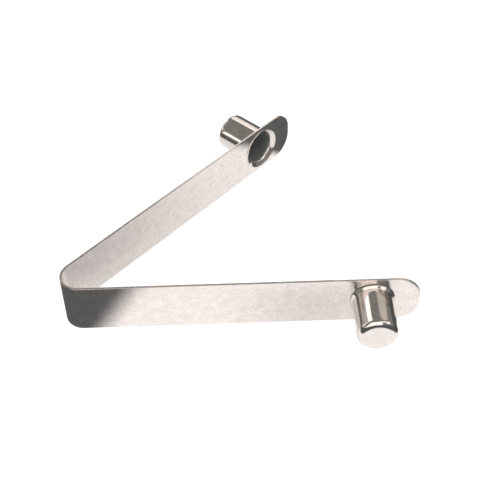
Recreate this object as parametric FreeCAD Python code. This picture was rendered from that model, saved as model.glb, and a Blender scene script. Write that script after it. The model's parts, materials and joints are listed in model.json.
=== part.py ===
"""Double-button spring clip: a V of spring steel strip, with a hollow button staked into each leg.

The clip locks telescopic tubes. It is squeezed, slid inside the inner tube, and its two buttons snap
out through a pair of opposite cross holes. The strip stands on its long edges here, with its width
along +Z.

Frame: the origin is the middle of the clip's footprint, on the surface that the strip stands on.
+X runs from the bend to the open end, and the front leg is on the -Y side. Units are millimetres.

One strip is written as three nodes, spring_bend, front_leg and rear_leg, because the legs flex.
Each leg turns about a flexure line on the strip's inner face, a short way along the flat from the bend.
"""

import FreeCAD, Part
import math
import os
from FreeCAD import Vector

# Spring strip
STRIP_WIDTH = 11.2
STRIP_THICKNESS = 0.5
LEG_LENGTH = 66.0            # from the end of the bend's arc to the tip
TIP_CORNER_RADIUS = 4.7      # of the two rounded corners at each leg's tip
LEG_HALF_ANGLE = 23.0        # each leg's angle to the X axis with the spring relaxed
BEND_OUTER_RADIUS = 3.9
FLEXURE_FROM_BEND = 8.0      # from the end of the bend's arc to the line that a leg flexes about

# Buttons: drawn cups, with heights measured outward from the strip's outer face
BUTTON_RADIUS = 4.0
BUTTON_HEIGHT = 9.5
BUTTON_FROM_TIP = 9.25       # from a leg's tip to its button's axis
BUTTON_EDGE_RADIUS = 1.0     # rounding round the closed end
WALL_THICKNESS = 0.35        # of the cup's side
END_THICKNESS = 0.4          # of the cup's closed end

# The joint of a button to its leg: a bead outside and a flared lip inside pinch the strip between them
HOLE_RADIUS = 4.25           # of the strip's countersunk hole at its outer face; the cup's neck fills it
COUNTERSINK_RADIUS = 4.65    # of the same hole at the inner face
BEAD_RADIUS = 4.4
BEAD_WIDEST_HEIGHT = 0.35
BEAD_HEIGHT = 1.0            # where the bead runs out into the cup's side
LIP_RADIUS = 4.95
LIP_RISE = 0.18
MOUTH_DEPTH = 1.5            # from the lip's top to where the mouth's flare runs out into the bore

PRINT_TOLERANCE = 0.01       # of the mesh that the printed extents are measured on

# Worked out from the sizes above
HALF_ANGLE = math.radians(LEG_HALF_ANGLE)
BEND_INNER_RADIUS = BEND_OUTER_RADIUS - STRIP_THICKNESS
MID_HEIGHT = STRIP_WIDTH / 2
BUTTON_ALONG_LEG = LEG_LENGTH - BUTTON_FROM_TIP
TIP_X = LEG_LENGTH * math.cos(HALF_ANGLE) - BEND_INNER_RADIUS * math.sin(HALF_ANGLE)
BEND_CENTRE_X = (BEND_OUTER_RADIUS - TIP_X) / 2      # puts the footprint's middle at X = 0

FRONT = -1
REAR = 1


def leg_point(side, along, outward, height):
    """A point on a leg: along its flat from the bend, outward from the bend's centre line, and up."""
    x = BEND_CENTRE_X + along * math.cos(HALF_ANGLE) - outward * math.sin(HALF_ANGLE)
    y = side * (along * math.sin(HALF_ANGLE) + outward * math.cos(HALF_ANGLE))
    return Vector(x, y, height)


def outward_normal(side):
    """The direction that a leg's outer face looks in, which is also its button's axis."""
    return Vector(-math.sin(HALF_ANGLE), side * math.cos(HALF_ANGLE), 0)


def line(start, end):
    return Part.LineSegment(start, end).toShape()


def arc(start, middle, end):
    return Part.Arc(start, middle, end).toShape()


def make_bend():
    """The V's bend, with the short flats on each side of it up to the flexure lines."""
    apex_outer = Vector(BEND_CENTRE_X - BEND_OUTER_RADIUS, 0, 0)
    apex_inner = Vector(BEND_CENTRE_X - BEND_INNER_RADIUS, 0, 0)

    def corner(side, along, radius):
        return leg_point(side, along, radius, 0)

    flat_end = FLEXURE_FROM_BEND
    edges = [
        line(corner(FRONT, flat_end, BEND_OUTER_RADIUS), corner(FRONT, 0, BEND_OUTER_RADIUS)),
        arc(corner(FRONT, 0, BEND_OUTER_RADIUS), apex_outer, corner(REAR, 0, BEND_OUTER_RADIUS)),
        line(corner(REAR, 0, BEND_OUTER_RADIUS), corner(REAR, flat_end, BEND_OUTER_RADIUS)),
        line(corner(REAR, flat_end, BEND_OUTER_RADIUS), corner(REAR, flat_end, BEND_INNER_RADIUS)),
        line(corner(REAR, flat_end, BEND_INNER_RADIUS), corner(REAR, 0, BEND_INNER_RADIUS)),
        arc(corner(REAR, 0, BEND_INNER_RADIUS), apex_inner, corner(FRONT, 0, BEND_INNER_RADIUS)),
        line(corner(FRONT, 0, BEND_INNER_RADIUS), corner(FRONT, flat_end, BEND_INNER_RADIUS)),
        line(corner(FRONT, flat_end, BEND_INNER_RADIUS), corner(FRONT, flat_end, BEND_OUTER_RADIUS)),
    ]
    return Part.Face(Part.Wire(edges)).extrude(Vector(0, 0, STRIP_WIDTH))


def make_leg(side):
    """A leg from its flexure line to its rounded tip, with the countersunk hole for its button."""
    corner_along = LEG_LENGTH - TIP_CORNER_RADIUS
    low_centre = TIP_CORNER_RADIUS
    high_centre = STRIP_WIDTH - TIP_CORNER_RADIUS
    diagonal = TIP_CORNER_RADIUS * math.sqrt(0.5)

    def on_inner_face(along, height):
        return leg_point(side, along, BEND_INNER_RADIUS, height)

    low_start = on_inner_face(FLEXURE_FROM_BEND, 0)
    low_corner = on_inner_face(corner_along, 0)
    low_middle = on_inner_face(corner_along + diagonal, low_centre - diagonal)
    low_tip = on_inner_face(LEG_LENGTH, low_centre)
    high_tip = on_inner_face(LEG_LENGTH, high_centre)
    high_middle = on_inner_face(corner_along + diagonal, high_centre + diagonal)
    high_corner = on_inner_face(corner_along, STRIP_WIDTH)
    high_start = on_inner_face(FLEXURE_FROM_BEND, STRIP_WIDTH)
    outline = Part.Wire([
        line(low_start, low_corner),
        arc(low_corner, low_middle, low_tip),
        line(low_tip, high_tip),
        arc(high_tip, high_middle, high_corner),
        line(high_corner, high_start),
        line(high_start, low_start),
    ])
    blank = Part.Face(outline).extrude(outward_normal(side) * STRIP_THICKNESS)
    hole_start = leg_point(side, BUTTON_ALONG_LEG, BEND_INNER_RADIUS, MID_HEIGHT)
    hole = Part.makeCone(COUNTERSINK_RADIUS, HOLE_RADIUS, STRIP_THICKNESS, hole_start, outward_normal(side))
    return blank.cut(hole)


def mouth_flare(bore):
    """The flare from the lip to the bore, an arc that meets both smoothly: its centre, radius and lean."""
    lip_centre = LIP_RADIUS - LIP_RISE
    across = lip_centre - bore
    down = MOUTH_DEPTH - LIP_RISE
    radius = (across ** 2 + down ** 2 - LIP_RISE ** 2) / (2 * (across - LIP_RISE))
    lean = math.asin((radius - across) / (radius - LIP_RISE))
    return (bore + radius, down - STRIP_THICKNESS), radius, lean


def make_button(side):
    """A hollow cup on its leg: closed round end outside, bead and neck at the strip, flared lip inside."""
    normal = outward_normal(side)
    along_leg = leg_point(side, 1, 0, 0) - leg_point(side, 0, 0, 0)
    base = leg_point(side, BUTTON_ALONG_LEG, BEND_OUTER_RADIUS, MID_HEIGHT)

    def at(radius, height):
        """A point of the cup's section, at a radius from its axis and a height above the outer face."""
        return base + along_leg * radius + normal * height

    def turned(centre, radius, angle):
        """The point of the section on a circle, at an angle from the direction away from the cup's axis."""
        return at(centre[0] + radius * math.cos(angle), centre[1] + radius * math.sin(angle))

    def round_edge(centre, radius, start_angle, end_angle):
        points = [turned(centre, radius, start_angle + (end_angle - start_angle) * k / 2) for k in range(3)]
        return arc(*points)

    quarter = math.pi / 2
    bore = BUTTON_RADIUS - WALL_THICKNESS
    inner_face = -STRIP_THICKNESS
    edge_centre = (BUTTON_RADIUS - BUTTON_EDGE_RADIUS, BUTTON_HEIGHT - BUTTON_EDGE_RADIUS)
    inside_radius = BUTTON_EDGE_RADIUS - WALL_THICKNESS
    inside_centre = (bore - inside_radius, BUTTON_HEIGHT - END_THICKNESS - inside_radius)
    lip_centre = (LIP_RADIUS - LIP_RISE, inner_face)
    flare_centre, flare_radius, lean = mouth_flare(bore)
    edges = [
        line(at(0, BUTTON_HEIGHT), turned(edge_centre, BUTTON_EDGE_RADIUS, quarter)),
        round_edge(edge_centre, BUTTON_EDGE_RADIUS, quarter, 0),
        line(turned(edge_centre, BUTTON_EDGE_RADIUS, 0), at(BUTTON_RADIUS, BEAD_HEIGHT)),
        arc(at(BUTTON_RADIUS, BEAD_HEIGHT), at(BEAD_RADIUS, BEAD_WIDEST_HEIGHT), at(HOLE_RADIUS, 0)),
        line(at(HOLE_RADIUS, 0), at(COUNTERSINK_RADIUS, inner_face)),
        line(at(COUNTERSINK_RADIUS, inner_face), at(LIP_RADIUS, inner_face)),
        round_edge(lip_centre, LIP_RISE, 0, -quarter - lean),
        round_edge(flare_centre, flare_radius, -quarter - lean, -2 * quarter),
        line(turned(flare_centre, flare_radius, -2 * quarter), turned(inside_centre, inside_radius, 0)),
        round_edge(inside_centre, inside_radius, 0, quarter),
        line(turned(inside_centre, inside_radius, quarter), at(0, BUTTON_HEIGHT - END_THICKNESS)),
        line(at(0, BUTTON_HEIGHT - END_THICKNESS), at(0, BUTTON_HEIGHT)),
    ]
    section = Part.Face(Part.Wire(edges))
    return section.revolve(base, normal, 360)


def write_node(name, shape):
    """Writes one sub-part, after making sure that it is a single valid solid."""
    solid = shape.Solids[0]
    if len(shape.Solids) != 1 or not solid.isValid():
        raise ValueError(name + " is not one valid solid")
    if solid.Volume < 0:
        solid.reverse()
    solid.exportStep("parts/" + name + ".step")
    solid.tessellate(PRINT_TOLERANCE)
    box = solid.optimalBoundingBox()
    print("%s: volume %.1f mm3, X %.2f to %.2f, Y %.2f to %.2f, Z %.2f to %.2f"
          % (name, solid.Volume, box.XMin, box.XMax, box.YMin, box.YMax, box.ZMin, box.ZMax))


def print_joint_and_mount_places():
    """The places that the record states for the flexure lines and the buttons."""
    for name, side in (("front", FRONT), ("rear", REAR)):
        flexure = leg_point(side, FLEXURE_FROM_BEND, BEND_INNER_RADIUS, MID_HEIGHT)
        straight_end = BUTTON_HEIGHT - BUTTON_EDGE_RADIUS
        middle = (BEAD_HEIGHT + straight_end) / 2
        pin = leg_point(side, BUTTON_ALONG_LEG, BEND_OUTER_RADIUS + middle, MID_HEIGHT)
        print("%s flexure line at X %.4f, Y %.4f" % (name, flexure.x, flexure.y))
        print("%s button: middle of its side %.4f, %.4f, %.4f, length %.2f, axis %.6f, %.6f, %.6f"
              % ((name,) + tuple(pin) + (straight_end - BEAD_HEIGHT,) + tuple(outward_normal(side))))


os.makedirs("parts", exist_ok=True)
write_node("spring_bend", make_bend())
for side_name, side in (("front", FRONT), ("rear", REAR)):
    write_node(side_name + "_leg", make_leg(side))
    write_node(side_name + "_button", make_button(side))
print_joint_and_mount_places()
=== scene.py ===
"""Spring button clip: a bent strip of spring steel with a hollow polished button near each leg's tip.

The strip is drawn as three pieces that meet in its flats.
Lengths are in metres, in the part's own frame: the bend points to -X, and the strip stands on its edge.
"""

import json
import math

import bpy
from mathutils import Matrix, Vector


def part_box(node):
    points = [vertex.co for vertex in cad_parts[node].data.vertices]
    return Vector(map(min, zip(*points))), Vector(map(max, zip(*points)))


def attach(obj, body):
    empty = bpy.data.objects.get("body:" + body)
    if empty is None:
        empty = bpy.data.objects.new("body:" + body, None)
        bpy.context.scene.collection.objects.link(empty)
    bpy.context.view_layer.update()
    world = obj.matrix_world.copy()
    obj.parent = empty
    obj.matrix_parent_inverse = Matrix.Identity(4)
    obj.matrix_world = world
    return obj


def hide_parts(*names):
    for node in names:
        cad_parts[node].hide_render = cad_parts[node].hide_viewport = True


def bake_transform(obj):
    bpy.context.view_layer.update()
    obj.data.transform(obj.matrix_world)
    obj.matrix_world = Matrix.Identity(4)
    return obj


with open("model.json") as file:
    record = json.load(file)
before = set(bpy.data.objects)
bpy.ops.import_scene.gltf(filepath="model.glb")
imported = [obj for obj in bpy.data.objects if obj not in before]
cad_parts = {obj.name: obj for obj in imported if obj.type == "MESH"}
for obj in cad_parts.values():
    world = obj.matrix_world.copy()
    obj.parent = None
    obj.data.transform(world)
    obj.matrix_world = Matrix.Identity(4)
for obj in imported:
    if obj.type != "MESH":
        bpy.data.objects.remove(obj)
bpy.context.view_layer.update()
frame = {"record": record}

MM = 0.001
QUARTER_TURN = math.pi / 2

# The strip, as part.py has it
STRIP_THICKNESS = 0.5 * MM
BEND_OUTER_RADIUS = 3.9 * MM
FLEXURE_FROM_BEND = 8.0 * MM
LEG_LENGTH = 66.0 * MM
TIP_CORNER = 4.7 * MM
BUTTON_FROM_TIP = 9.25 * MM
HOLE_RADIUS = 4.25 * MM
COUNTERSINK_RADIUS = 4.65 * MM

# Details that only the drawn strip has
EDGE_ROUNDING = 0.07 * MM      # of the slit edges
STUB = 1.0 * MM                # flat that belongs to the bend's piece, on each side of it

# The cup, with heights from the strip's outer face
BUTTON_RADIUS = 4.0 * MM
BUTTON_HEIGHT = 9.5 * MM
BUTTON_EDGE = 1.0 * MM         # height of the rounding round its closed end
BUTTON_EDGE_INSET = 1.3 * MM   # and its width
WALL = 0.35 * MM
END_WALL = 0.4 * MM
BEAD_RADIUS = 4.42 * MM
BEAD_WIDEST = 0.2 * MM         # height of its largest radius
BEAD_ROUNDING = 0.15 * MM
BEAD_SLOPE = math.radians(37)  # of its cone, from the button's axis
BEAD_TOP = 0.8 * MM
CREASE = 0.16 * MM             # where the bead turns into the cup's side
LIP_RADIUS = 4.95 * MM
LIP_RISE = 0.18 * MM
MOUTH_SLOPE = math.radians(35)     # of the mouth's cone, from the leg's inner face
MOUTH_ROUNDING = 0.7 * MM          # where the cone turns into the bore

# How finely the strip is divided
SHARP_ANGLE = math.radians(40)     # faces that meet at more than this keep a sharp edge
NORMAL_WEIGHT = 100
MAP_SCALE = 10                     # a material's map counts 1 for each 0.1 m
EDGE_STEPS = 4                     # round each corner of the slit edge
FACE_COLUMNS = 10                  # across the strip's width
BEND_STEPS = 56
STUB_STEPS = 2
FLEX_STEPS = 30                    # along the part of a leg that bends
PLAIN_STEPS = 16                   # from there to the button's surroundings
BESIDE_STEPS = 14                  # along the button's surroundings
RING_START = 0.75                  # from the button's axis to the end of the plain part, in strip widths
CORNER_STEPS = 20                  # round each of a tip's two corners
TIP_STEPS = 6                      # along the flat between them
RING_STEPS = 5                     # rings of quads between the button's hole and the leg's outline

# How finely the cup is divided, in the order of its section
CUP_SEGMENTS = 128
END_STEPS = 6
END_ROUNDING_STEPS = 16
SIDE_STEPS = 6
CREASE_STEPS = 5
BEAD_CONE_STEPS = 4
BEAD_ROUNDING_STEPS = 6
CREVICE_STEPS = 4
LIP_STEPS = 10
MOUTH_CONE_STEPS = 5
MOUTH_ROUNDING_STEPS = 14
DULL_SHADED_ROUNDING_STEPS = 7            # of those, the last ones, which are as dull as the bore and share its painted shade
BORE_STEPS = 6
BORE_CORNER_STEPS = 8
BORE_END_STEPS = 5

FRONT = -1
REAR = 1
SIDES = {"front": FRONT, "rear": REAR}

strip_low, strip_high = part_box("spring_bend")
STRIP_WIDTH = strip_high.z - strip_low.z
pin_axis = Vector(frame["record"]["mounts"][0]["axis"])
HALF_ANGLE = math.atan2(-pin_axis.x, abs(pin_axis.y))
BEND_INNER_RADIUS = BEND_OUTER_RADIUS - STRIP_THICKNESS
BEND_CENTRE_X = strip_low.x + BEND_OUTER_RADIUS
BUTTON_ALONG = LEG_LENGTH - BUTTON_FROM_TIP
HALF_ARC = (QUARTER_TURN - HALF_ANGLE) * (BEND_OUTER_RADIUS + BEND_INNER_RADIUS) / 2


# ---------------------------------------------------------------- places on the clip

def leg_point(side, along, outward, height):
    """A point on a leg: along its flat from the bend, outward from the bend's centre line, and up."""
    x = BEND_CENTRE_X + along * math.cos(HALF_ANGLE) - outward * math.sin(HALF_ANGLE)
    y = side * (along * math.sin(HALF_ANGLE) + outward * math.cos(HALF_ANGLE))
    return Vector((x, y, height))


def leg_direction(side):
    return leg_point(side, 1, 0, 0) - leg_point(side, 0, 0, 0)


def outward_direction(side):
    """The way that a leg's outer face looks, which is also its button's axis."""
    return Vector((-math.sin(HALF_ANGLE), side * math.cos(HALF_ANGLE), 0))


def bend_point(turn, outward, height):
    """A point on the bend: turn runs from -1, where the front leg starts, to 1, where the rear one does."""
    angle = math.pi - turn * (QUARTER_TURN - HALF_ANGLE)
    return Vector((BEND_CENTRE_X + outward * math.cos(angle), outward * math.sin(angle), height))


def strip_point(path, rise, height):
    """A point of the strip by its path from the bend's middle, and its rise off the inner face."""
    outward = BEND_INNER_RADIUS + rise
    if abs(path) <= HALF_ARC:
        return bend_point(path / HALF_ARC, outward, height)
    return leg_point(FRONT if path < 0 else REAR, abs(path) - HALF_ARC, outward, height)


def spread(start, end, steps):
    """Evenly spaced values from start to end, with both of them."""
    return [start + (end - start) * k / steps for k in range(steps + 1)]


def between(start, end, steps):
    """The points that divide the line between two points into steps, without those two."""
    return [(start[0] + (end[0] - start[0]) * k / steps, start[1] + (end[1] - start[1]) * k / steps)
            for k in range(1, steps)]


def arc_points(centre, radius, start, end, steps):
    return [(centre[0] + radius * math.cos(angle), centre[1] + radius * math.sin(angle))
            for angle in spread(start, end, steps)]


# ---------------------------------------------------------------- meshes

def make_piece(name, points, faces, places, material):
    """A smooth-shaded object from points, faces and each point's place on the material's map."""
    mesh = bpy.data.meshes.new(name)
    mesh.from_pydata(points, [], faces)
    layer = mesh.uv_layers.new(name="strip_map")
    for loop in mesh.loops:
        u, v = places[loop.vertex_index]
        layer.data[loop.index].uv = (u * MAP_SCALE, v * MAP_SCALE)
    mesh.validate()
    mesh.update()
    beside = {}
    for polygon in mesh.polygons:
        polygon.use_smooth = True
        for key in polygon.edge_keys:
            beside.setdefault(key, []).append(polygon.normal)
    for edge in mesh.edges:
        edge.use_edge_sharp = beside[edge.key][0].angle(beside[edge.key][-1], 0.0) > SHARP_ANGLE
    mesh.materials.append(material)
    piece = bpy.data.objects.new(name, mesh)
    bpy.context.scene.collection.objects.link(piece)
    weighted = piece.modifiers.new("even_normals", "WEIGHTED_NORMAL")
    weighted.keep_sharp = True
    weighted.weight = NORMAL_WEIGHT
    return piece


def edge_profile():
    """The slit edge from outer to inner face, as (inset from the edge, rise off the inner face)."""
    points = []
    for angle in spread(QUARTER_TURN, 0, EDGE_STEPS):
        points.append((EDGE_ROUNDING * (1 - math.cos(angle)),
                       STRIP_THICKNESS - EDGE_ROUNDING * (1 - math.sin(angle))))
    return points + [(inset, STRIP_THICKNESS - rise) for inset, rise in reversed(points)]


def face_columns():
    """The heights of the points across a face of the strip, from one rounded edge to the other."""
    return spread(EDGE_ROUNDING, STRIP_WIDTH - EDGE_ROUNDING, FACE_COLUMNS)


def section_loop():
    """The strip's whole section as a closed loop of (rise off the inner face, height)."""
    columns = face_columns()
    outer = [(STRIP_THICKNESS, z) for z in columns]
    top = [(rise, STRIP_WIDTH - inset) for inset, rise in edge_profile()]
    inner = [(0, z) for z in reversed(columns)]
    bottom = [(rise, inset) for inset, rise in reversed(edge_profile())]
    return outer + top[1:-1] + inner + bottom[1:-1]


def make_bend(material):
    """The bend with its two stubs, swept along the strip's path."""
    section = section_loop()
    count = len(section)
    paths = spread(-HALF_ARC - STUB, -HALF_ARC, STUB_STEPS)[:-1]
    paths += spread(-HALF_ARC, HALF_ARC, BEND_STEPS)
    paths += spread(HALF_ARC, HALF_ARC + STUB, STUB_STEPS)[1:]
    points = []
    places = []
    for path in paths:
        for rise, height in section:
            points.append(strip_point(path, rise, height))
            places.append((path, height + rise))
    faces = []
    for i in range(len(paths) - 1):
        for j in range(count):
            k = (j + 1) % count
            faces.append((i * count + j, i * count + k, (i + 1) * count + k, (i + 1) * count + j))
    faces.append(tuple(reversed(range(count))))
    faces.append(tuple(range((len(paths) - 1) * count, len(paths) * count)))
    return make_piece("strip_bend", points, faces, places, material)


def leg_outline():
    """The leg's edge as (along, height, normal along, normal up), from the bend, round the tip, and back.

    The second value counts the points of one side, up to where the button's surroundings start.
    """
    straight = LEG_LENGTH - TIP_CORNER
    ring_start = BUTTON_ALONG - STRIP_WIDTH * RING_START
    flex = spread(STUB, 2 * FLEXURE_FROM_BEND, FLEX_STEPS)
    plain = spread(2 * FLEXURE_FROM_BEND, ring_start, PLAIN_STEPS)
    beside = spread(ring_start, straight, BESIDE_STEPS)
    stations = flex + plain[1:] + beside[1:]
    lower = [(along, 0.0, 0.0, -1.0) for along in stations]
    upper = [(along, STRIP_WIDTH, 0.0, 1.0) for along in reversed(stations)]
    corners = []
    for centre, first in ((TIP_CORNER, -QUARTER_TURN), (STRIP_WIDTH - TIP_CORNER, 0.0)):
        corner = []
        for angle in spread(first, first + QUARTER_TURN, CORNER_STEPS):
            away = (math.cos(angle), math.sin(angle))
            corner.append((straight + TIP_CORNER * away[0], centre + TIP_CORNER * away[1], *away))
        corners.append(corner)
    flat_end = [(LEG_LENGTH, z, 1.0, 0.0)
                for z in spread(TIP_CORNER, STRIP_WIDTH - TIP_CORNER, TIP_STEPS)]
    tip = corners[0][1:] + flat_end[1:-1] + corners[1][:-1]
    return lower + tip + upper, len(flex) + len(plain) - 1


def make_leg(name, side, material):
    """A leg with a rounded edge all round, a round tip and the hole for its button."""
    outline, grid_rows = leg_outline()
    profile = edge_profile()
    outer = 0                       # the profile's points at the strip's two faces
    inner = len(profile) - 1
    columns = face_columns()
    leg_way = leg_direction(side)
    points = []
    places = []
    faces = []

    def add(along, rise, height, map_along, map_height):
        points.append(leg_point(side, along, BEND_INNER_RADIUS + rise, height))
        places.append((side * (HALF_ARC + map_along), map_height))
        return len(points) - 1

    def add_quad(quad, face):
        faces.append(quad if face == outer else quad[::-1])

    rim = []
    for along, height, away_along, away_up in outline:
        row = []
        for k, (inset, rise) in enumerate(profile):
            spare = inset - k * STRIP_THICKNESS / len(profile)      # the map runs on round the edge
            row.append(add(along - away_along * inset, rise, height - away_up * inset,
                           along - away_along * spare, height - away_up * spare))
        rim.append(row)
    for i in range(len(rim) - 1):
        for j in range(inner):
            faces.append((rim[i][j], rim[i][j + 1], rim[i + 1][j + 1], rim[i + 1][j]))

    starts = {}
    hole_rings = {}
    for face, rise, hole in ((outer, STRIP_THICKNESS, HOLE_RADIUS), (inner, 0.0, COUNTERSINK_RADIUS)):
        rows = []
        for i in range(grid_rows):
            along = outline[i][0]
            middle = [add(along, rise, z, along, z) for z in columns[1:-1]]
            rows.append([rim[i][face]] + middle + [rim[len(rim) - 1 - i][face]])
        for i in range(grid_rows - 1):
            for j in range(FACE_COLUMNS):
                add_quad((rows[i][j], rows[i + 1][j], rows[i + 1][j + 1], rows[i][j + 1]), face)
        starts[face] = rows[0]

        # rings from the outline round the button in to the hole's circle
        border = [row[face] for row in rim[grid_rows - 1:len(rim) - grid_rows + 1]]
        border += rows[-1][-2:0:-1]
        hole_centre = leg_point(side, BUTTON_ALONG, BEND_INNER_RADIUS + rise, STRIP_WIDTH / 2)
        around = []
        for index in border:
            offset = points[index] - hole_centre
            around.append((offset.dot(leg_way), offset.z))
        previous = border
        for step in range(1, RING_STEPS + 1):
            share = step / RING_STEPS
            ring = []
            for x, z in around:
                scale = (1 - share) + share * hole / math.hypot(x, z)
                along = BUTTON_ALONG + x * scale
                height = STRIP_WIDTH / 2 + z * scale
                ring.append(add(along, rise, height, along, height))
            for j in range(len(ring)):
                k = (j + 1) % len(ring)
                add_quad((previous[j], previous[k], ring[k], ring[j]), face)
            previous = ring
        hole_rings[face] = previous

    outer_ring = hole_rings[outer]
    inner_ring = hole_rings[inner]
    for j in range(len(outer_ring)):
        k = (j + 1) % len(outer_ring)
        faces.append((outer_ring[j], outer_ring[k], inner_ring[k], inner_ring[j]))
    faces.append(tuple(starts[outer] + rim[-1][1:-1] + starts[inner][::-1] + rim[0][1:-1][::-1]))
    if side == REAR:
        faces = [face[::-1] for face in faces]
    return make_piece(name, points, faces, places, material)


def cup_section():
    """The cup's section as (radius, height), from the middle of its closed end round to the inside.

    The second value lists its dull runs, coloured darker as painted shade: the crevice under the bead,
    and the bore with the last part of the mouth's rounding.
    """
    flat = BUTTON_RADIUS - BUTTON_EDGE_INSET
    edge_start = BUTTON_HEIGHT - BUTTON_EDGE
    points = [(0, BUTTON_HEIGHT)]
    points += between((0, BUTTON_HEIGHT), (flat, BUTTON_HEIGHT), END_STEPS)
    points += [(flat + BUTTON_EDGE_INSET * math.cos(angle), edge_start + BUTTON_EDGE * math.sin(angle))
               for angle in spread(QUARTER_TURN, 0, END_ROUNDING_STEPS)]
    points += between((BUTTON_RADIUS, edge_start), (BUTTON_RADIUS, BEAD_TOP), SIDE_STEPS)

    crease_centre = (BUTTON_RADIUS + CREASE, BEAD_TOP)
    points += arc_points(crease_centre, CREASE, math.pi, math.pi + BEAD_SLOPE, CREASE_STEPS)
    bead_centre = (BEAD_RADIUS - BEAD_ROUNDING, BEAD_WIDEST)
    bead = arc_points(bead_centre, BEAD_ROUNDING, BEAD_SLOPE, 0, BEAD_ROUNDING_STEPS)
    points += between(points[-1], bead[0], BEAD_CONE_STEPS) + bead

    crevice = len(points)
    overhang = BEAD_RADIUS - HOLE_RADIUS
    points += [(HOLE_RADIUS + overhang * math.cos(angle), BEAD_WIDEST * (1 - math.sin(angle)))
               for angle in spread(0, QUARTER_TURN, CREVICE_STEPS)[1:]]
    inner_face = -STRIP_THICKNESS
    points.append((COUNTERSINK_RADIUS, inner_face))
    crevice_end = len(points)

    bore = BUTTON_RADIUS - WALL
    cone_angle = -QUARTER_TURN - MOUTH_SLOPE
    points += arc_points((LIP_RADIUS - LIP_RISE, inner_face), LIP_RISE, 0, cone_angle, LIP_STEPS)
    cone_start = points[-1]
    cone_end = bore + MOUTH_ROUNDING * (1 - math.sin(MOUTH_SLOPE))
    depth = (cone_start[0] - cone_end) * math.tan(MOUTH_SLOPE)
    bore_start = cone_start[1] + depth + MOUTH_ROUNDING * math.cos(MOUTH_SLOPE)
    points += between(cone_start, (cone_end, cone_start[1] + depth), MOUTH_CONE_STEPS)
    points += arc_points((bore + MOUTH_ROUNDING, bore_start), MOUTH_ROUNDING, cone_angle, -math.pi,
                         MOUTH_ROUNDING_STEPS)
    dull_shaded_start = len(points) - 1 - DULL_SHADED_ROUNDING_STEPS

    corner = BUTTON_EDGE - WALL
    end = BUTTON_HEIGHT - END_WALL
    points += between((bore, bore_start), (bore, end - corner), BORE_STEPS)
    points += arc_points((bore - corner, end - corner), corner, 0, QUARTER_TURN, BORE_CORNER_STEPS)
    points += between((bore - corner, end), (0, end), BORE_END_STEPS)
    points.append((0, end))
    return points, [range(crevice - 1, crevice_end - 1), range(dull_shaded_start, len(points))]


def make_cup(name, side, material, dull_shaded_material):
    """The drawn cup, turned round its axis."""
    axis = outward_direction(side)
    leg_way = leg_direction(side)
    base = leg_point(side, BUTTON_ALONG, BEND_OUTER_RADIUS, STRIP_WIDTH / 2)
    section, dull_shaded_runs = cup_section()
    points = [base + axis * section[0][1]]
    places = [(0.0, 0.0)]
    rows = []
    for radius, height in section[1:-1]:
        row = []
        for k in range(CUP_SEGMENTS):
            angle = 2 * math.pi * k / CUP_SEGMENTS
            spoke = leg_way * math.cos(angle) + Vector((0, 0, 1)) * math.sin(angle)
            row.append(len(points))
            points.append(base + spoke * radius + axis * height)
            places.append((radius * math.cos(angle), radius * math.sin(angle)))
        rows.append(row)
    last = len(points)
    points.append(base + axis * section[-1][1])
    places.append((0.0, 0.0))

    faces = []
    for k in range(CUP_SEGMENTS):
        n = (k + 1) % CUP_SEGMENTS
        faces.append((0, rows[0][k], rows[0][n]))
        for i in range(len(rows) - 1):
            faces.append((rows[i][k], rows[i + 1][k], rows[i + 1][n], rows[i][n]))
        faces.append((rows[-1][k], last, rows[-1][n]))
    if side == REAR:
        faces = [face[::-1] for face in faces]
    cup = make_piece(name, points, faces, places, material)
    cup.data.materials.append(dull_shaded_material)
    # the dull runs take the second material, whose darker colour is painted shade
    for polygon in cup.data.polygons:
        band = polygon.index % (len(section) - 1)
        polygon.material_index = int(any(band in run for run in dull_shaded_runs))
    return cup


# ---------------------------------------------------------------- shader nodes

def new_material(name):
    material = bpy.data.materials.new(name)
    material.use_nodes = True
    tree = material.node_tree
    return material, tree, tree.nodes["Principled BSDF"]


def ramp(tree, source, low, high, dark, light):
    """Maps a value from low..high to a colour between two ends."""
    node = tree.nodes.new("ShaderNodeValToRGB")
    node.color_ramp.elements[0].position = low
    node.color_ramp.elements[0].color = (*dark, 1)
    node.color_ramp.elements[1].position = high
    node.color_ramp.elements[1].color = (*light, 1)
    tree.links.new(source, node.inputs["Fac"])
    return node.outputs["Color"]


def span(tree, source, low, high, to_low, to_high, smooth=False):
    """Maps a value from low..high to to_low..to_high."""
    node = tree.nodes.new("ShaderNodeMapRange")
    if smooth:
        node.interpolation_type = "SMOOTHSTEP"
    node.inputs["From Min"].default_value = low
    node.inputs["From Max"].default_value = high
    node.inputs["To Min"].default_value = to_low
    node.inputs["To Max"].default_value = to_high
    tree.links.new(source, node.inputs["Value"])
    return node.outputs["Result"]


def noise(tree, vector, scale, detail, roughness, stretch=(1, 1, 1)):
    mapping = tree.nodes.new("ShaderNodeMapping")
    mapping.inputs["Scale"].default_value = stretch
    tree.links.new(vector, mapping.inputs["Vector"])
    node = tree.nodes.new("ShaderNodeTexNoise")
    node.inputs["Scale"].default_value = scale
    node.inputs["Detail"].default_value = detail
    node.inputs["Roughness"].default_value = roughness
    tree.links.new(mapping.outputs["Vector"], node.inputs["Vector"])
    return node.outputs["Fac"]


def bump(tree, height, distance, normal=None):
    node = tree.nodes.new("ShaderNodeBump")
    node.inputs["Distance"].default_value = distance
    node.inputs["Strength"].default_value = 1.0
    tree.links.new(height, node.inputs["Height"])
    if normal is not None:
        tree.links.new(normal, node.inputs["Normal"])
    return node.outputs["Normal"]


def math_node(tree, operation, first, second=None):
    """A calculation on one or two values, each of them a number or a socket."""
    node = tree.nodes.new("ShaderNodeMath")
    node.operation = operation
    for socket, value in zip(node.inputs, (first, second)):
        if value is None:
            continue
        if isinstance(value, (int, float)):
            socket.default_value = value
        else:
            tree.links.new(value, socket)
    return node.outputs[0]


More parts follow.
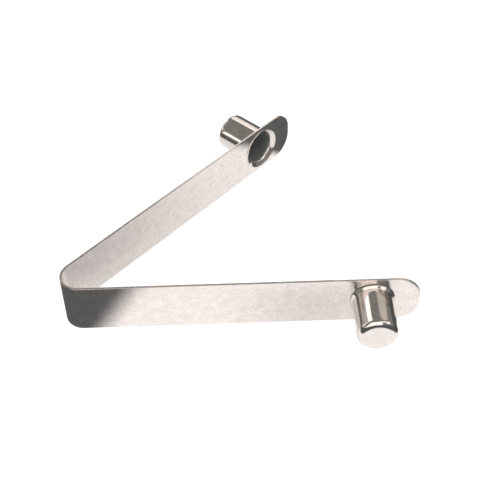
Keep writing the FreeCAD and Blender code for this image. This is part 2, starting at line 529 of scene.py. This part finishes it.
def multiply(tree, first, second):
    return math_node(tree, "MULTIPLY", first, second)


def dot(tree, vector, way):
    node = tree.nodes.new("ShaderNodeVectorMath")
    node.operation = "DOT_PRODUCT"
    tree.links.new(vector, node.inputs[0])
    node.inputs[1].default_value = way
    return node.outputs["Value"]


def distance(tree, vector, centre):
    node = tree.nodes.new("ShaderNodeVectorMath")
    node.operation = "DISTANCE"
    tree.links.new(vector, node.inputs[0])
    node.inputs[1].default_value = centre
    return node.outputs["Value"]


def mix_colour(tree, share, first, second):
    """A colour between two others, each of them plain values or a socket."""
    node = tree.nodes.new("ShaderNodeMix")
    node.data_type = "RGBA"
    tree.links.new(share, node.inputs["Factor"])
    for name, value in (("A", first), ("B", second)):
        socket = [one for one in node.inputs if one.name == name and one.type == "RGBA"][0]
        if isinstance(value, tuple):
            socket.default_value = (*value, 1)
        else:
            tree.links.new(value, socket)
    return [one for one in node.outputs if one.type == "RGBA"][0]


def choose_by_ray(tree, plain, mirrored):
    """One shader for mirror-like rays and the other for all the rest."""
    path = tree.nodes.new("ShaderNodeLightPath")
    choose = tree.nodes.new("ShaderNodeMixShader")
    tree.links.new(path.outputs["Is Glossy Ray"], choose.inputs["Fac"])
    tree.links.new(plain, choose.inputs[1])
    tree.links.new(mirrored, choose.inputs[2])
    return choose.outputs["Shader"]


# ---------------------------------------------------------------- materials

def strip_map(tree):
    place = tree.nodes.new("ShaderNodeUVMap")
    place.uv_map = "strip_map"
    return place.outputs["UV"]


def own_place(tree):
    """The point's place in its object's own frame, in metres."""
    return tree.nodes.new("ShaderNodeTexCoord").outputs["Object"]


def strip_material():
    """Rolled spring strip: satin, with a fine mottled grain and faint lines along the strip."""
    material, tree, shader = new_material("spring_strip_satin")
    place = strip_map(tree)
    cloud = noise(tree, place, scale=55, detail=5, roughness=0.65)
    speck = noise(tree, place, scale=230, detail=3, roughness=0.6)
    grain = noise(tree, place, scale=420, detail=3, roughness=0.6)
    lines = noise(tree, place, scale=420, detail=4, roughness=0.65, stretch=(0.05, 1, 1))
    shift = span(tree, speck, low=0.0, high=1.0, to_low=-0.55, to_high=0.55)
    tone = math_node(tree, "ADD", cloud, shift)
    colour = ramp(tree, tone, low=0.2, high=0.8, dark=(0.66, 0.593, 0.56), light=(0.85, 0.782, 0.75))
    tree.links.new(colour, shader.inputs["Base Color"])
    rough = span(tree, cloud, low=0.3, high=0.7, to_low=0.16, to_high=0.22)
    tree.links.new(rough, shader.inputs["Roughness"])
    shader.inputs["Metallic"].default_value = 1.0
    grained = bump(tree, grain, distance=0.005 * MM)
    lined = bump(tree, lines, distance=0.004 * MM, normal=grained)
    tree.links.new(lined, shader.inputs["Normal"])
    return material


def button_material():
    """Polished drawn steel: near-mirror, with faint draw lines along the cup and uneven polish."""
    material, tree, shader = new_material("button_shell_polished")
    cloud = noise(tree, own_place(tree), scale=420, detail=4, roughness=0.6)
    draw = noise(tree, strip_map(tree), scale=260, detail=4, roughness=0.6)
    colour = ramp(tree, cloud, low=0.36, high=0.64, dark=(0.66, 0.61, 0.575), light=(0.74, 0.69, 0.655))
    tree.links.new(colour, shader.inputs["Base Color"])
    rough = span(tree, cloud, low=0.3, high=0.7, to_low=0.06, to_high=0.10)
    tree.links.new(rough, shader.inputs["Roughness"])
    shader.inputs["Metallic"].default_value = 1.0
    tree.links.new(bump(tree, draw, distance=0.004 * MM), shader.inputs["Normal"])
    return material


def bore_shaded_material():
    """The cup's inside: the same steel left dull, and coloured darker as painted shade in the hollow."""
    material, tree, shader = new_material("button_bore_dull_painted_shade")
    cloud = noise(tree, own_place(tree), scale=500, detail=4, roughness=0.6)
    # painted shade: darker than the polished steel, for the hollow and the crevice under the bead
    colour = ramp(tree, cloud, low=0.35, high=0.65, dark=(0.25, 0.26, 0.25), light=(0.33, 0.34, 0.32))
    tree.links.new(colour, shader.inputs["Base Color"])
    rough = span(tree, cloud, low=0.3, high=0.7, to_low=0.42, to_high=0.55)
    tree.links.new(rough, shader.inputs["Roughness"])
    shader.inputs["Metallic"].default_value = 0.6
    return material


# ---------------------------------------------------------------- studio

STUDIO_LIGHT = 1.25            # of the plain dome, and of the floor's painted glow that the metal reflects
SKY_BASE = (0.26, 0.253, 0.24)
SKY_CARDS = [
    # azimuth, elevation, width, height, soft edge and tilt, all in degrees, and the colour;
    # a later card hides an earlier one
    (34, 34, 26, 26, 7, 0, (0.66, 0.62, 0.56)),
    (115.5, 12, 10, 26, 8, 0, (0.63, 0.60, 0.57)),
    (199, 6, 14, 14, 4, 0, (0.75, 0.73, 0.70)),
    (130, 32, 58, 12, 5, -14, (1.4, 1.37, 1.34)),
    (103, 31, 15, 30, 3, -14, (1.6, 1.58, 1.55)),
    (58, 26.2, 23, 24.5, 3, 0, (1.20, 1.12, 1.04)),
    (169.5, 14.7, 6, 14.4, 3, 0, (1.6, 1.57, 1.52)),
    (235, 30, 60, 64, 8, 0, (1.5, 1.46, 1.42)),
    (280, 56, 60, 18, 6, 0, (1.5, 1.46, 1.42)),
    (345, 33, 18, 12, 5, 0, (1.2, 1.18, 1.15)),
    (65, 38.6, 11, 7, 2, 0, (1.6, 1.55, 1.50)),
    (141, 13, 18, 16, 4, 0, (1.5, 1.47, 1.42)),
    (309, 31, 30, 20, 4, 0, (1.5, 1.46, 1.42)),
]
LEAST_AHEAD = 0.001            # keeps a card out of the half of the sky behind it

FLOOR_HEIGHT = -0.1 * MM
FLOOR_REACH = 1.5
FLOOR_GREY = 0.35
FLOOR_GLOW = 0.85
# the painted dark patches of the floor's glow for the metal
PAINTED_FLOOR_DARK = (0.109, 0.120, 0.120)
LEG_BLUR = 0.5 * MM            # width of the step in the floor's tone under each leg

# Painted dark patches and painted shade in the floor's glow, which only the metal sees
# Stretches of the floor in millimetres. Each starts at its first point and is full from its second on.
DARK_PAST_BEND = ((-22.6, 0), (-29.6, -0.6))
DARK_PAST_FRONT_TIP = ((32.2, 0), (35.2, 0.3))
DARK_PAST_FRONT = ((14, -43.3), (13.55, -47.8))
DARK_PAST_FRONT_LEFT = ((3, -34), (1.2, -37.6))
DARK_FRONT_RIGHT = ((31.6, -37.0), (33.0, -38.4))
DARK_PAST_REAR_TIP = ((28.2, 0), (31.4, 0.1))
REAR_HALF = ((0, 5), (0, 12))
DARK_UNDER_FRONT_TIP = ((26.0, -28), (29.5, -28.2))
DARK_PAST_REAR_LEG = ((4, 0), (-8, 0))
SHADE_TO_BEND = ((26, 0), (-22, 0))
SHADE_UNDER_BEND = ((-21, 0), (-28, 0))

# How much painted shade the floor's glow for the metal has between the legs, and beside the front button
EVEN_SHADE = 0.09
BEND_SHADE = 0.20
BEND_SHADE_OFF_LEG = 0.20      # more of it, away from the rear leg
SHADE_OFF_LEG = 8 * MM
LIFT_UNDER_BEND = 0.85
BUTTON_SHADE = 0.24
BUTTON_SHADE_CENTRE = (12, -27)
BUTTON_SHADE_START = 1 * MM
BUTTON_SHADE_END = 24 * MM
BUTTON_SHADE_NONE = 12 * MM    # outward from the front leg, no shade past this
BUTTON_SHADE_FULL = 8 * MM     # and full shade up to this


def direction(azimuth, elevation):
    a = math.radians(azimuth)
    e = math.radians(elevation)
    return Vector((math.cos(a) * math.cos(e), math.sin(a) * math.cos(e), math.sin(e)))


def soft_card(tree, view, azimuth, elevation, wide, high, soft, tilt):
    """1 inside a rectangle of the sky seen from the clip, 0 outside; all sizes are in degrees."""
    forward = direction(azimuth, elevation)
    side_way = direction(azimuth + 90, 0)
    up_way = forward.cross(side_way)
    turn = math.radians(tilt)
    across = side_way * math.cos(turn) + up_way * math.sin(turn)
    up = up_way * math.cos(turn) - side_way * math.sin(turn)
    depth = math_node(tree, "MAXIMUM", dot(tree, view, forward), LEAST_AHEAD)
    blur = math.tan(math.radians(soft)) / 2
    shares = []
    for way, size in ((across, wide), (up, high)):
        offset = math_node(tree, "ABSOLUTE", math_node(tree, "DIVIDE", dot(tree, view, way), depth))
        half = math.tan(math.radians(size / 2))
        shares.append(span(tree, offset, half - blur, half + blur, 1.0, 0.0, smooth=True))
    return multiply(tree, shares[0], shares[1])


def make_sky():
    """A plain white dome for soft light, and cards and gaps of a studio for the metal to reflect."""
    world = bpy.data.worlds.new("studio")
    bpy.context.scene.world = world
    world.use_nodes = True
    tree = world.node_tree
    tree.nodes.clear()
    view = tree.nodes.new("ShaderNodeTexCoord").outputs["Generated"]
    total = SKY_BASE
    for *placing, colour in SKY_CARDS:
        total = mix_colour(tree, soft_card(tree, view, *placing), total, colour)
    cards = tree.nodes.new("ShaderNodeBackground")
    tree.links.new(total, cards.inputs["Color"])
    plain = tree.nodes.new("ShaderNodeBackground")
    plain.inputs["Color"].default_value = (1, 1, 1, 1)
    plain.inputs["Strength"].default_value = STUDIO_LIGHT
    out = tree.nodes.new("ShaderNodeOutputWorld")
    seen = choose_by_ray(tree, plain.outputs["Background"], cards.outputs["Background"])
    tree.links.new(seen, out.inputs["Surface"])


def floor_share(tree, place, start, end):
    """0 on the floor up to the point start, and 1 from the point end on, along the line between them."""
    way = end - start
    along = dot(tree, place, way / way.length)
    low = start.dot(way) / way.length
    return span(tree, along, low, low + way.length, 0.0, 1.0, smooth=True)


def stretch_share(tree, place, stretch):
    """The same for a stretch of the floor given in millimetres."""
    start, end = [Vector((x, y, 0)) * MM for x, y in stretch]
    return floor_share(tree, place, start, end)


def leg_share(tree, place, side, none_at, full_at):
    """The same for two lines along a leg, by their distances outward from its inner face."""
    line = leg_point(side, 0, BEND_INNER_RADIUS, 0)
    outward = outward_direction(side)
    return floor_share(tree, place, line + outward * none_at, line + outward * full_at)


def painted_floor_dark(tree, place, behind_front):
    """Painted dark patches in the floor's glow for the metal, past the bend, the tips and the legs."""
    behind_rear = leg_share(tree, place, REAR, 0, LEG_BLUR)
    dark = stretch_share(tree, place, DARK_PAST_BEND)
    for stretch in (DARK_PAST_FRONT_TIP, DARK_PAST_FRONT, DARK_PAST_FRONT_LEFT, DARK_FRONT_RIGHT):
        dark = math_node(tree, "MAXIMUM", dark, stretch_share(tree, place, stretch))
    for stretch, within in ((DARK_PAST_REAR_TIP, stretch_share(tree, place, REAR_HALF)),
                            (DARK_UNDER_FRONT_TIP, behind_front),
                            (DARK_PAST_REAR_LEG, behind_rear)):
        share = multiply(tree, stretch_share(tree, place, stretch), within)
        dark = math_node(tree, "MAXIMUM", dark, share)
    return dark


def floor_shade(tree, place, behind_front):
    """Painted shade in the floor's glow for the metal: between the legs and beside the front button."""
    under_bend = multiply(tree, stretch_share(tree, place, SHADE_UNDER_BEND), LIFT_UNDER_BEND)
    to_bend = math_node(tree, "SUBTRACT", stretch_share(tree, place, SHADE_TO_BEND), under_bend)
    off_leg = leg_share(tree, place, REAR, 0, -SHADE_OFF_LEG)
    depth = math_node(tree, "ADD", multiply(tree, off_leg, BEND_SHADE_OFF_LEG), BEND_SHADE)
    between_legs = math_node(tree, "ADD", multiply(tree, to_bend, depth), EVEN_SHADE)
    between_legs = multiply(tree, between_legs, behind_front)

    centre_x, centre_y = BUTTON_SHADE_CENTRE
    apart = distance(tree, place, Vector((centre_x, centre_y, 0)) * MM)
    button = span(tree, apart, BUTTON_SHADE_START, BUTTON_SHADE_END, BUTTON_SHADE, 0.0, smooth=True)
    button = multiply(tree, button, leg_share(tree, place, FRONT, BUTTON_SHADE_NONE, BUTTON_SHADE_FULL))
    return math_node(tree, "MAXIMUM", between_legs, button)


def make_floor():
    """A pale floor. The metal sees a glow on it instead, a painted reflection with painted shade
    between the legs and beside the front button, and painted dark patches past the bend and the tips.
    """
    corners = [(x * FLOOR_REACH, y * FLOOR_REACH, FLOOR_HEIGHT)
               for x, y in ((-1, -1), (1, -1), (1, 1), (-1, 1))]
    mesh = bpy.data.meshes.new("floor")
    mesh.from_pydata(corners, [], [(0, 1, 2, 3)])
    floor = bpy.data.objects.new("floor", mesh)
    bpy.context.scene.collection.objects.link(floor)

    material, tree, shader = new_material("floor_pale_painted_reflection")
    mesh.materials.append(material)
    shader.inputs["Base Color"].default_value = (FLOOR_GREY, FLOOR_GREY, FLOOR_GREY, 1)
    shader.inputs["Roughness"].default_value = 1.0
    shader.inputs["Specular IOR Level"].default_value = 0.0
    shader.inputs["Emission Color"].default_value = (1, 1, 1, 1)
    shader.inputs["Emission Strength"].default_value = FLOOR_GLOW

    place = own_place(tree)
    behind_front = leg_share(tree, place, FRONT, 0, -LEG_BLUR)
    shade = floor_shade(tree, place, behind_front)
    # the glow that only the metal sees is a painted reflection: painted shade, then painted dark patches
    lit = mix_colour(tree, shade, (STUDIO_LIGHT, STUDIO_LIGHT, STUDIO_LIGHT), (0, 0, 0))
    mirrored = mix_colour(tree, painted_floor_dark(tree, place, behind_front), lit, PAINTED_FLOOR_DARK)
    glow = tree.nodes.new("ShaderNodeEmission")
    tree.links.new(mirrored, glow.inputs["Color"])
    seen = choose_by_ray(tree, shader.outputs["BSDF"], glow.outputs["Emission"])
    tree.links.new(seen, tree.nodes["Material Output"].inputs["Surface"])


# ---------------------------------------------------------------- camera

CAMERA_TARGET = Vector((7.39, -2.44, 5.0)) * MM
CAMERA_DISTANCE = 218.5 * MM
CAMERA_AZIMUTH = math.radians(-24.34)
CAMERA_ELEVATION = math.radians(45.26)
CAMERA_ROLL = math.radians(-0.86)
CAMERA_LENS = 76.54            # in mm, as Blender takes it
CAMERA_SENSOR = 36.0
CAMERA_NEAR = 0.01
CAMERA_FAR = 10.0


def make_camera():
    back = Vector((math.sin(CAMERA_AZIMUTH) * math.cos(CAMERA_ELEVATION),
                   -math.cos(CAMERA_AZIMUTH) * math.cos(CAMERA_ELEVATION),
                   math.sin(CAMERA_ELEVATION)))
    right = Vector((math.cos(CAMERA_AZIMUTH), math.sin(CAMERA_AZIMUTH), 0))
    up = back.cross(right)
    rolled_right = right * math.cos(CAMERA_ROLL) + up * math.sin(CAMERA_ROLL)
    rolled_up = up * math.cos(CAMERA_ROLL) - right * math.sin(CAMERA_ROLL)
    data = bpy.data.cameras.new("camera")
    data.lens = CAMERA_LENS
    data.sensor_width = CAMERA_SENSOR
    data.clip_start = CAMERA_NEAR
    data.clip_end = CAMERA_FAR
    camera = bpy.data.objects.new("camera", data)
    bpy.context.scene.collection.objects.link(camera)
    turn = Matrix((rolled_right, rolled_up, back)).transposed().to_4x4()
    camera.matrix_world = Matrix.Translation(CAMERA_TARGET + back * CAMERA_DISTANCE) @ turn
    bpy.context.scene.camera = camera


# ---------------------------------------------------------------- the clip

def build_clip():
    strip = strip_material()
    shell = button_material()
    bore = bore_shaded_material()
    bend = make_bend(strip)
    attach(bend, "bend")
    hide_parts("spring_bend")
    for name, side in SIDES.items():
        leg = make_leg(name + "_strip", side, strip)
        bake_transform(leg)
        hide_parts(name + "_leg")
        cup = make_cup(name + "_cup", side, shell, bore)
        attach(cup, name + "_leg")
        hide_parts(name + "_button")


bpy.context.scene.view_settings.view_transform = "Standard"
build_clip()
make_sky()
make_floor()
make_camera()
